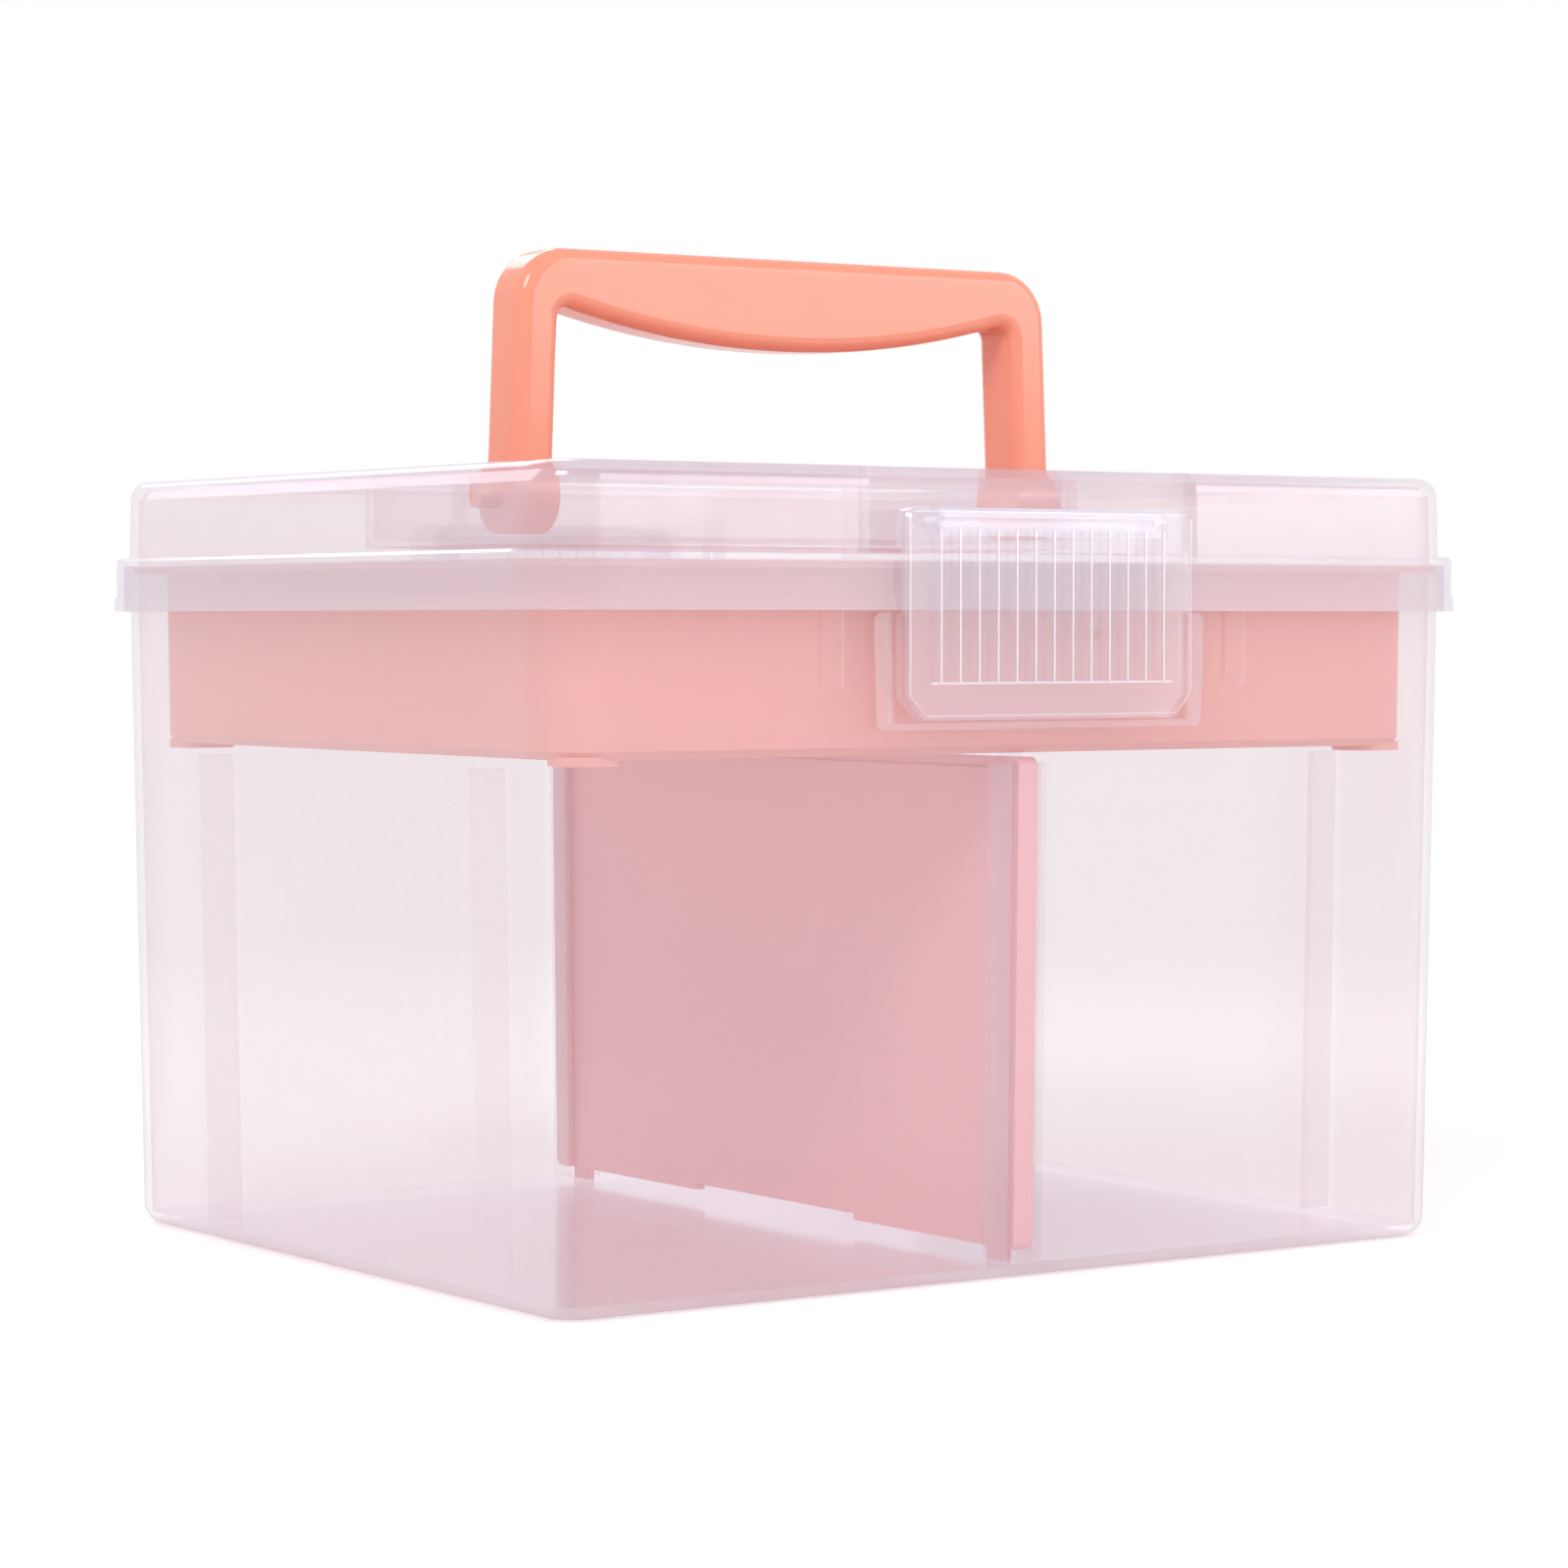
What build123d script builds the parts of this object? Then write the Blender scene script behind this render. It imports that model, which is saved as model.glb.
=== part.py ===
"""Compartment storage box: a deep tub, a lift-out tray, a loose divider and a lid with two latches and a handle.

Millimetres. X runs along the front, the front is at -Y, Z is up, and the origin is at the middle of the base.
The tub carries everything. The tray hangs in it by its flange, the divider stands in two pairs of ribs,
and the lid sits on the tub's collar, held by a latch at the front and one at the back.
"""
import os
from math import radians, tan

from build123d import *

os.makedirs("parts", exist_ok=True)

# Tub
tub_top = 161.0
tub_top_length = 254.08
tub_top_width = 207.38
tub_corner = 10.0
tub_bottom_edge = 5.0
draft = 1.0
tub_wall = 2.0
tub_floor = 3.0
collar_bottom = 151.0
collar_step = 0.86
collar_overhang = 0.4

# Seat for the tray's flange in the top of the tub
seat_width = 1.56
seat_depth = 1.9

# Lid
rim_bottom = 150.1
rim_wall = 1.6
rim_gap = 0.5
shoulder = 1.8
rim_corner = 15.0
bead_height = 3.4
bead_depth = 0.5
rim_bevel = 0.7
dome_inset = 3.18
dome_height = 18.8
dome_wall = 2.0
dome_corner = 12.0
dome_edge = 4.5
lid_lift_gap = 0.1

# Handle
handle_span = 157.0
handle_depth = 15.0
handle_rise = 57.7
leg_width = 11.3
leg_lean = 2.3
grip_end_height = 13.1
grip_middle_height = 22.1
handle_corner = 13.0
grip_corner = 3.0
handle_edge = 3.4
foot_radius = 9.0
foot_width = 11.7
foot_step = 0.2
pivot_depth = 4.7
handle_pin_radius = 3.0
handle_pin_length = 6.0
running_gap = 0.05

# Well in the lid that the handle folds back into
well_side_gap = 2.0
well_floor_gap = 0.5
well_front_gap = 3.0
well_back_gap = 1.3
well_corner = 5.0
boss_width = 4.0
boss_length = 14.0

# Latches
latch_width = 80.6
latch_top = 172.7
latch_bottom = 126.0
latch_wall = 1.6
latch_face_gap = 1.25
latch_chamfer = 5.0
latch_corner = 3.0
latch_edge = 0.8
latch_clearance = 0.3
recess_side_gap = 5.7
recess_depth = 6.0
recess_corner = 3.0
barrel_length = 60.0
barrel_radius = 3.0
latch_pin_radius = 1.4
latch_pin_length = 3.8
lug_width = 4.0
lug_gap = 0.3
lug_base = 5.6
lug_toe = 1.56
ridge_pitch = 5.2
ridge_count = 13
ridge_width = 0.5
ridge_height = 0.3
ridge_bottom = 134.1
ridge_top = 167.8
hook_length = 30.0
hook_thickness = 2.2
hook_drop = 4.0

# Frame, catch and short ribs on the tub behind each latch
frame_gap = 1.4
frame_bar = 4.6
frame_lean = 0.8
frame_sill = 1.6
frame_depth = 2.0
frame_corner = 2.0
catch_length = 34.0
catch_height = 3.0
catch_depth = 1.5
short_rib_place = 56.5
short_rib_width = 6.0
short_rib_length = 18.0

# Ribs and fins inside the tub
slot_rib_thickness = 1.7
slot_rib_depth = 9.25
fin_place = 63.7
fin_thickness = 2.0
fin_depth = 9.0

# Divider
divider_thickness = 2.4
divider_end_thickness = 5.4
divider_end_depth = 6.0
divider_gap = 0.5
divider_bottom = 5.8
divider_arch = 1.5
divider_arch_length = 68.0
divider_foot_length = 6.0
divider_bead = 0.5
divider_bead_height = 6.0
divider_corner = 2.5

# Tray
tray_end_gap = 7.54
tray_side_gap = 5.19
tray_depth = 42.6
tray_wall = 1.6
tray_corner = 12.0
tray_edge = 1.8
tray_draft = 0.7
flange_gap = 0.4
foot_drop = 1.3
tray_foot = 14.0
tray_foot_corner = 4.7
partition_count = 2
partition_height = 30.0
partition_thickness = 1.4
support_gap = 1.0


def half_length(height):
    """Half of the tub's outer length at a height."""
    return tub_top_length / 2 - (tub_top - height) * tan(radians(draft))


def half_width(height):
    """Half of the tub's outer width at a height."""
    return tub_top_width / 2 - (tub_top - height) * tan(radians(draft))


# Places that follow from the sizes above
collar_half_length = half_length(tub_top) + collar_step
collar_half_width = half_width(tub_top) + collar_step
rim_inner_half_length = collar_half_length + rim_gap
rim_inner_half_width = collar_half_width + rim_gap
rim_half_length = rim_inner_half_length + rim_wall
rim_half_width = rim_inner_half_width + rim_wall
shoulder_under = tub_top + lid_lift_gap
rim_top = shoulder_under + shoulder
dome_half_length = rim_half_length - dome_inset
dome_half_width = rim_half_width - dome_inset
lid_top = rim_top + dome_height

pivot_height = lid_top - pivot_depth
handle_half = handle_span / 2
handle_top = pivot_height + handle_rise
leg_inner = handle_half - leg_width
grip_end = handle_top - grip_end_height
grip_middle = handle_top - grip_middle_height
leg_inner_top = leg_inner - leg_lean * (grip_end - pivot_height) / handle_rise
foot_outer = handle_half + foot_step
foot_inner = foot_outer - foot_width
well_half = foot_outer + well_side_gap
well_floor = pivot_height - foot_radius - well_floor_gap
well_front = -foot_radius - well_front_gap
well_back = handle_rise + well_back_gap

tray_length = tub_top_length - 2 * tray_end_gap
tray_width = tub_top_width - 2 * tray_side_gap
tray_top = tub_top - lid_lift_gap * 2
tray_flange_under = tub_top - seat_depth + lid_lift_gap
tray_bottom = tray_top - tray_depth
support_top = tray_bottom - foot_drop - support_gap
divider_top = tray_bottom - support_gap

recess_half = latch_width / 2 + recess_side_gap
recess_back = dome_half_width - recess_depth
latch_inner_face = rim_half_width + latch_face_gap
latch_face = latch_inner_face + latch_wall
barrel_place = latch_inner_face - barrel_radius + lid_lift_gap
barrel_height = latch_top - barrel_radius + lid_lift_gap
catch_face = half_width(rim_bottom) + catch_depth
latch_back = catch_face + latch_clearance
catch_bottom = rim_bottom - hook_drop


def rib_face(plane, half_size, depth, top, thickness):
    """Sketch of a rib that stands on the floor and follows the leaning wall, extruded both ways."""
    with BuildSketch(plane) as profile:
        with BuildLine():
            Polyline(
                (half_size(tub_floor) - tub_wall - depth, tub_floor / 2),
                (half_size(top) - tub_wall - depth, top),
                (half_size(top) - tub_wall / 2, top),
                (half_size(tub_floor) - tub_wall / 2, tub_floor / 2),
                close=True,
            )
        make_face()
    extrude(profile.sketch, amount=thickness / 2, both=True)


# Tub: a drafted shell with a collar, ribs for the divider, fins, and a frame and catch for each latch
slot_half = divider_end_thickness / 2 + divider_gap
slot_rib_place = slot_half + slot_rib_thickness / 2
frame_outer = latch_width / 2 + frame_gap + frame_bar
frame_inner = frame_outer - frame_bar
frame_top = rim_bottom - latch_clearance - collar_overhang / 2
frame_bottom = latch_bottom - frame_sill - latch_clearance * 2

with BuildPart() as tub:
    with BuildSketch(Plane.XY):
        RectangleRounded(2 * half_length(0), 2 * half_width(0), tub_corner)
    extrude(amount=tub_top, taper=-draft)
    fillet(tub.faces().sort_by(Axis.Z)[0].edges(), tub_bottom_edge)
    with BuildSketch(Plane.XY.offset(collar_bottom)):
        RectangleRounded(2 * collar_half_length, 2 * collar_half_width, rim_corner - rim_wall - rim_gap)
    extrude(amount=tub_top - collar_bottom)

    # Frame, catch and short ribs, on the front and mirrored to the back
    with BuildSketch(Plane.XZ.offset(half_width(rim_bottom) - tub_wall / 2)) as frame_sketch:
        with BuildLine():
            Polyline(
                (-frame_outer, frame_top),
                (-frame_outer + frame_lean, frame_bottom),
                (frame_outer - frame_lean, frame_bottom),
                (frame_outer, frame_top),
                close=True,
            )
        make_face()
        fillet(frame_sketch.vertices(), frame_corner)
        with BuildLine():
            Polyline(
                (-frame_inner, frame_top),
                (-frame_inner + frame_lean, frame_bottom + frame_sill),
                (frame_inner - frame_lean, frame_bottom + frame_sill),
                (frame_inner, frame_top),
                close=True,
            )
        make_face(mode=Mode.SUBTRACT)
    extrude(amount=frame_depth + tub_wall / 2)
    with BuildSketch(Plane.XZ.offset(half_width(rim_bottom) - tub_wall / 2)):
        with Locations((0, catch_bottom + catch_height / 2)):
            Rectangle(catch_length, catch_height)
    extrude(amount=catch_depth + tub_wall / 2)
    with BuildSketch(Plane.XZ.offset(half_width(rim_bottom) - tub_wall)):
        for side in (-1, 1):
            with Locations((side * short_rib_place, collar_bottom - short_rib_length / 2 + collar_overhang)):
                Rectangle(short_rib_width, short_rib_length)
    extrude(amount=collar_half_width - half_width(rim_bottom) + tub_wall)
    mirror(about=Plane.XZ)

    # Hollow of the tub and the seat for the tray's flange
    with BuildSketch(Plane.XY.offset(tub_floor)):
        RectangleRounded(
            2 * (half_length(tub_floor) - tub_wall),
            2 * (half_width(tub_floor) - tub_wall),
            tub_corner - tub_wall,
        )
    extrude(amount=tub_top - tub_floor, taper=-draft, mode=Mode.SUBTRACT)
    with BuildSketch(Plane.XY.offset(tub_top)):
        RectangleRounded(
            2 * (half_length(tub_top) - tub_wall + seat_width),
            2 * (half_width(tub_top) - tub_wall + seat_width),
            rim_corner - rim_wall - rim_gap - collar_step,
        )
    extrude(amount=-seat_depth, mode=Mode.SUBTRACT)

    # Pairs of ribs that guide the divider, and fins on the side walls
    for side in (-1, 1):
        rib_face(Plane.YZ.offset(side * slot_rib_place), half_width, slot_rib_depth, support_top, slot_rib_thickness)
        rib_face(Plane.XZ.offset(side * fin_place), half_length, fin_depth, support_top, fin_thickness)
    mirror(about=Plane.XZ)
    mirror(about=Plane.YZ)
tub.part.label = "tub"
export_step(tub.part, "parts/tub.step")


def latch_lug(face, sign):
    """A lug that stands on the lid's shoulder and holds one end of a latch's pin."""
    with BuildSketch(Plane.YZ.offset(sign * (barrel_length / 2 + lug_gap))) as profile:
        with BuildLine():
            Polyline(
                (face * (barrel_place + lug_toe), rim_top - shoulder / 2),
                (face * (barrel_place + lug_radius), barrel_height),
                (face * (barrel_place - lug_radius), barrel_height),
                (face * (barrel_place - lug_base), rim_top - shoulder / 2),
                close=True,
            )
        make_face()
        with Locations((face * barrel_place, barrel_height)):
            Circle(lug_radius)
            Circle(latch_pin_radius + running_gap, mode=Mode.SUBTRACT)
    extrude(profile.sketch, amount=sign * lug_width)


# Space inside the lid: the rim's pocket and the dome, less what stands in them
lug_radius = barrel_radius - lid_lift_gap - latch_clearance
boss_end = well_half + dome_wall + boss_width

with BuildPart() as lid_hollow:
    with BuildSketch(Plane.XY.offset(rim_bottom)):
        RectangleRounded(2 * rim_inner_half_length, 2 * rim_inner_half_width, rim_corner - rim_wall)
    extrude(amount=shoulder_under - rim_bottom)
    with BuildSketch(Plane.XY.offset(shoulder_under)):
        RectangleRounded(
            2 * (dome_half_length - dome_wall),
            2 * (dome_half_width - dome_wall),
            dome_corner - dome_wall,
        )
    extrude(amount=lid_top - dome_wall - shoulder_under, taper=draft)
    chamfer(lid_hollow.faces().sort_by(Axis.Z)[-1].edges(), dome_edge - dome_wall)
    with BuildSketch(Plane.XY.offset(well_floor - dome_wall)):
        with Locations((0, (well_front + well_back) / 2)):
            RectangleRounded(
                2 * (well_half + dome_wall),
                well_back - well_front + 2 * dome_wall,
                well_corner + dome_wall,
            )
    extrude(amount=lid_top - well_floor, mode=Mode.SUBTRACT)
    with BuildSketch(Plane.XY.offset(pivot_height - boss_length / 2)):
        Rectangle(2 * boss_end, boss_length)
    extrude(amount=lid_top - pivot_height + boss_length / 2, mode=Mode.SUBTRACT)
    with BuildSketch(Plane.XY.offset(shoulder_under)):
        for sign in (-1, 1):
            with Locations((0, sign * rim_half_width)):
                Rectangle(2 * (recess_half + dome_wall), 2 * (rim_half_width - recess_back + dome_wall))
    extrude(amount=lid_top - shoulder_under, mode=Mode.SUBTRACT)

# Lid: rim, shoulder and dome, with the handle's well and a recess with two lugs for each latch
with BuildPart() as lid:
    with BuildSketch(Plane.XY.offset(rim_bottom)):
        RectangleRounded(2 * rim_half_length, 2 * rim_half_width, rim_corner)
    extrude(amount=rim_top - rim_bottom)
    chamfer(lid.faces().sort_by(Axis.Z)[-1].edges(), rim_bevel)
    with BuildSketch(Plane.XY.offset(rim_bottom)):
        RectangleRounded(
            2 * (rim_half_length + bead_depth),
            2 * (rim_half_width + bead_depth),
            rim_corner + bead_depth,
        )
    extrude(amount=bead_height)
    with BuildSketch(Plane.XY.offset(rim_top)):
        RectangleRounded(2 * dome_half_length, 2 * dome_half_width, dome_corner)
    extrude(amount=dome_height, taper=draft)
    fillet(lid.faces().sort_by(Axis.Z)[-1].edges(), dome_edge)
    add(lid_hollow.part, mode=Mode.SUBTRACT)
    with BuildSketch(Plane.XY.offset(well_floor)):
        with Locations((0, (well_front + well_back) / 2)):
            RectangleRounded(2 * well_half, well_back - well_front, well_corner)
    extrude(amount=lid_top - well_floor, mode=Mode.SUBTRACT)
    with BuildSketch(Plane.XY.offset(rim_top)):
        for sign in (-1, 1):
            with Locations((0, sign * rim_half_width)):
                RectangleRounded(2 * recess_half, 2 * (rim_half_width - recess_back), recess_corner)
    extrude(amount=dome_height, mode=Mode.SUBTRACT)
    with Locations(Location((0, 0, pivot_height), (0, 90, 0))):
        Cylinder(handle_pin_radius + running_gap, 2 * boss_end, mode=Mode.SUBTRACT)
    for face in (-1, 1):
        for sign in (-1, 1):
            latch_lug(face, sign)
lid.part.label = "lid"
export_step(lid.part, "parts/lid.step")

# Handle: two legs with round feet and a grip that is thicker in the middle
with BuildPart() as handle:
    with BuildSketch(Plane.XZ) as handle_sketch:
        with BuildLine():
            Polyline(
                (-handle_half, pivot_height),
                (-handle_half + leg_lean, handle_top),
                (handle_half - leg_lean, handle_top),
                (handle_half, pivot_height),
                close=True,
            )
        make_face()
        fillet(handle_sketch.vertices().group_by(Axis.Y)[-1], handle_corner)
    extrude(amount=handle_depth / 2, both=True)
    with BuildSketch(Plane.XZ) as opening_sketch:
        with BuildLine():
            Polyline(
                (leg_inner_top, grip_end),
                (leg_inner, pivot_height),
                (-leg_inner, pivot_height),
                (-leg_inner_top, grip_end),
            )
            ThreePointArc((-leg_inner_top, grip_end), (0, grip_middle), (leg_inner_top, grip_end))
        make_face()
        fillet(opening_sketch.vertices().group_by(Axis.Y)[-1], grip_corner)
    extrude(amount=handle_depth / 2, both=True, mode=Mode.SUBTRACT)
    broad_faces = handle.faces().filter_by(Plane.XZ)
    fillet(broad_faces.edges().filter_by_position(Axis.Z, pivot_height + 1, handle_top), handle_edge)
    for sign in (-1, 1):
        with Locations(Location((sign * (foot_outer + foot_inner) / 2, 0, pivot_height), (0, 90, 0))):
            Cylinder(foot_radius, foot_width)
        with Locations(Location((sign * (foot_outer + handle_pin_length / 2), 0, pivot_height), (0, 90, 0))):
            Cylinder(handle_pin_radius, handle_pin_length)
handle.part.label = "handle"
export_step(handle.part, "parts/handle.step")

# Latches: a shallow cover with a barrel and two pins at the top, ridges on its face and a hook behind
with BuildPart() as front_latch:
    with BuildSketch(Plane.XZ.offset(latch_back)) as latch_sketch:
        with BuildLine():
            Polyline(
                (-latch_width / 2, latch_top),
                (-latch_width / 2, latch_bottom + latch_chamfer),
                (-latch_width / 2 + latch_chamfer, latch_bottom),
                (latch_width / 2 - latch_chamfer, latch_bottom),
                (latch_width / 2, latch_bottom + latch_chamfer),
                (latch_width / 2, latch_top),
                close=True,
            )
        make_face()
        fillet(latch_sketch.vertices(), latch_corner)
    extrude(amount=latch_face - latch_back)
    chamfer(front_latch.faces().sort_by(Axis.Y)[0].edges(), latch_edge)
    with BuildSketch(Plane.XZ.offset(latch_inner_face)):
        with BuildLine():
            inner_half = latch_width / 2 - latch_wall
            Polyline(
                (-inner_half, latch_top),
                (-inner_half, latch_bottom + latch_chamfer),
                (-inner_half + latch_chamfer, latch_bottom + latch_wall),
                (inner_half - latch_chamfer, latch_bottom + latch_wall),
                (inner_half, latch_bottom + latch_chamfer),
                (inner_half, latch_top),
                close=True,
            )
        make_face()
    extrude(amount=latch_back - latch_inner_face, mode=Mode.SUBTRACT)
    with BuildSketch(Plane.XZ.offset(rim_half_width + bead_depth + latch_clearance)):
        with Locations((0, (rim_bottom + rim_top) / 2)):
            Rectangle(latch_width, rim_top - rim_bottom + 2 * collar_step)
    extrude(amount=-bead_depth - rim_half_width, mode=Mode.SUBTRACT)
    with Locations(Location((0, -barrel_place, barrel_height), (0, 90, 0))):
        Cylinder(barrel_radius, barrel_length)
        Cylinder(latch_pin_radius, barrel_length + 2 * latch_pin_length)
    with BuildSketch(Plane.XZ.offset(latch_inner_face)):
        with Locations((0, (ridge_bottom + ridge_top) / 2)):
            with GridLocations(ridge_pitch, 0, ridge_count, 1):
                Rectangle(ridge_width, ridge_top - ridge_bottom)
    extrude(amount=latch_wall + ridge_height)
    with BuildSketch(Plane.XZ.offset(latch_back)):
        with Locations((0, catch_bottom - latch_clearance - hook_thickness / 2)):
            Rectangle(hook_length, hook_thickness)
    extrude(amount=latch_inner_face - latch_back)
front_latch.part.label = "front_latch"
export_step(front_latch.part, "parts/front_latch.step")

with BuildPart() as rear_latch:
    add(front_latch.part.rotate(Axis.Z, 180))
rear_latch.part.label = "rear_latch"
export_step(rear_latch.part, "parts/rear_latch.step")

# Divider: a thin wall with thick ends that run in the ribs, a bead along the top and feet on the floor
divider_gap_end = tub_wall + divider_gap
foot_place = half_width(0) - divider_gap_end - divider_end_depth - divider_foot_length / 2


def divider_slab(bottom, top, inset):
    """Profile of the divider between two heights, with its ends parallel to the tub's walls."""
    with BuildLine() as outline:
        Polyline(
            (-half_width(bottom) + divider_gap_end + inset, bottom),
            (half_width(bottom) - divider_gap_end - inset, bottom),
            (half_width(top) - divider_gap_end - inset, top),
            (-half_width(top) + divider_gap_end + inset, top),
            close=True,
        )
    make_face(outline.edges())


with BuildPart() as divider:
    with BuildSketch(Plane.YZ) as divider_sketch:
        divider_slab(divider_bottom, divider_top, 0)
        fillet(divider_sketch.vertices(), divider_corner)
        with Locations((0, divider_bottom)):
            Rectangle(divider_arch_length, 2 * divider_arch, mode=Mode.SUBTRACT)
    extrude(amount=divider_thickness / 2, both=True)
    with BuildSketch(Plane.YZ) as end_sketch:
        divider_slab(divider_bottom, divider_top, 0)
        fillet(end_sketch.vertices(), divider_corner)
        with BuildLine():
            Polyline(
                (-half_width(0) + divider_gap_end + divider_end_depth, 0),
                (half_width(0) - divider_gap_end - divider_end_depth, 0),
                (half_width(tub_top) - divider_gap_end - divider_end_depth, tub_top),
                (-half_width(tub_top) + divider_gap_end + divider_end_depth, tub_top),
                close=True,
            )
        make_face(mode=Mode.SUBTRACT)
    extrude(amount=divider_end_thickness / 2, both=True)
    with BuildSketch(Plane.YZ):
        for sign in (-1, 1):
            with Locations((sign * foot_place, (tub_floor + divider_bottom) / 2 + divider_corner)):
                Rectangle(divider_foot_length, divider_bottom - tub_floor + 2 * divider_corner)
    extrude(amount=divider_thickness / 2, both=True)
    with BuildSketch(Plane.YZ):
        divider_slab(divider_top - divider_bead_height, divider_top - divider_corner, divider_end_depth / 2)
    extrude(amount=divider_thickness / 2 + divider_bead, both=True)
divider.part.label = "divider"
export_step(divider.part, "parts/divider.step")

# Tray: a drafted shell with a flange, two cross partitions and a small foot under each corner
tray_half_length_bottom = tray_length / 2 - tray_depth * tan(radians(tray_draft))
tray_half_width_bottom = tray_width / 2 - tray_depth * tan(radians(tray_draft))
flange_half_length = half_length(tub_top) - tub_wall + seat_width - flange_gap
flange_half_width = half_width(tub_top) - tub_wall + seat_width - flange_gap

with BuildPart() as tray:
    with BuildSketch(Plane.XY.offset(tray_bottom)):
        RectangleRounded(2 * tray_half_length_bottom, 2 * tray_half_width_bottom, tray_corner)
    extrude(amount=tray_depth, taper=-tray_draft)
    chamfer(tray.faces().sort_by(Axis.Z)[0].edges(), tray_edge)
    with BuildSketch(Plane.XY.offset(tray_flange_under)):
        RectangleRounded(2 * flange_half_length, 2 * flange_half_width, tray_corner)
    extrude(amount=tray_top - tray_flange_under)
    foot_inset = tray_edge + tray_foot / 2
    with BuildSketch(Plane.XY.offset(tray_bottom - foot_drop)):
        with GridLocations(
            2 * (tray_half_length_bottom - foot_inset), 2 * (tray_half_width_bottom - foot_inset), 2, 2
        ):
            RectangleRounded(tray_foot, tray_foot, tray_foot_corner)
    extrude(amount=foot_drop + tray_wall / 2)
    with BuildSketch(Plane.XY.offset(tray_bottom + tray_wall)):
        RectangleRounded(
            2 * (tray_half_length_bottom - tray_wall),
            2 * (tray_half_width_bottom - tray_wall),
            tray_corner - tray_wall,
        )
    extrude(amount=tray_depth, taper=-tray_draft, mode=Mode.SUBTRACT)
    with BuildSketch(Plane.XY.offset(tray_bottom + tray_wall / 2)):
        with GridLocations(tray_length / (partition_count + 1), 0, partition_count, 1):
            Rectangle(partition_thickness, 2 * tray_half_width_bottom - tray_wall)
    extrude(amount=partition_height)
tray.part.label = "tray"
export_step(tray.part, "parts/tray.step")
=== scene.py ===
# %% [markdown]
# Compartment storage box. A clear, slightly milky tub holds a coral tray and a coral divider. A
# clear lid with two ridged latches closes it, and a coral handle stands on the lid. Every shape
# comes from the CAD frame, because the pieces are plain mouldings and the CAD holds their walls,
# ribs and drafts. Blender adds what the eye reads as plastic: haze, tint, small waves in the
# skin, flecks, and the way light leaves at the edges. Some of it is painted light: the pink in the
# clear film stands for coral light, the mirror's lavender tone for a lavender room, and masks paint
# reflections and highlights on the lid's rim, the tub's frames and the latches.

# %% Load the frame
import math

import bpy
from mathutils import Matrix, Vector


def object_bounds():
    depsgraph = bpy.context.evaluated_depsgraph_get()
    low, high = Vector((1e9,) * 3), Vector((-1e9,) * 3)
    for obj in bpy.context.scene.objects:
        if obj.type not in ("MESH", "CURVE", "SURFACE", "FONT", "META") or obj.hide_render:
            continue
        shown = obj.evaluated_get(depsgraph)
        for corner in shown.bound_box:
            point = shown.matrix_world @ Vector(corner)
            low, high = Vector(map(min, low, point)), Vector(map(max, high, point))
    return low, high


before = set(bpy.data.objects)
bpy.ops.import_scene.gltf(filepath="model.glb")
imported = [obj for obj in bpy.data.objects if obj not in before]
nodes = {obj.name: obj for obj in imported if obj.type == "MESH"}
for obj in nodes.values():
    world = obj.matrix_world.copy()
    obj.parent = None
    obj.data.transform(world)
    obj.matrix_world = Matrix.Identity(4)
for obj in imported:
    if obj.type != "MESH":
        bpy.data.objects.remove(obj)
cad_low, cad_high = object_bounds()
millimetre = 0.001
print("nodes", sorted(nodes))
print("cad box", tuple(cad_low), tuple(cad_high))

# %% [markdown]
# The camera stands where the photographer stood: left of the front, a little over a metre away,
# and about as high as the lid's rim, so the lid's top is almost a line. The lens is a short
# telephoto, because the box's verticals stay nearly upright and its far edges shrink only a
# little.

# %% Camera
camera_place = Vector((-0.60916, -0.89625, 0.14721))
camera_yaw = 34.29
camera_pitch = 2.06
sensor_width = 36.0
photo_width = 1599.0
focal_pixels = 4551.6

camera_data = bpy.data.cameras.new("photo_camera")
camera_data.sensor_width = sensor_width
camera_data.lens = focal_pixels * sensor_width / photo_width
camera_data.clip_start = 0.01
camera_data.clip_end = 50.0
camera = bpy.data.objects.new("photo_camera", camera_data)
camera.location = camera_place
camera.rotation_euler = (math.radians(90.0 - camera_pitch), 0.0, math.radians(-camera_yaw))
bpy.context.scene.collection.objects.link(camera)
bpy.context.scene.camera = camera
bpy.context.scene.view_settings.view_transform = "Standard"
print("lens", round(camera_data.lens, 2), "mm")

# %% [markdown]
# The studio is a white room. Clear plastic shows only what is behind it and what it mirrors, so
# the room needs some difference in it: it is white round the box and a little lavender overhead.
# Light Path tells the two uses apart: the camera, mirrors and clear walls see the room at full
# white, and matt surfaces get a lower, plain light from it, at which a colour looks about as it
# is written.

# %% Studio world
horizon_white = (1.0, 1.0, 1.0, 1.0)
overhead_tone = (0.86, 0.85, 0.93, 1.0)
white_height = 0.25
overhead_height = 0.85
room_white = 1.0
dome_tone = (1.0, 0.99, 0.99, 1.0)
world_level = 0.62


def math_node(tree, operation):
    """A Math node for one operation."""
    node = tree.nodes.new("ShaderNodeMath")
    node.operation = operation
    return node


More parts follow.
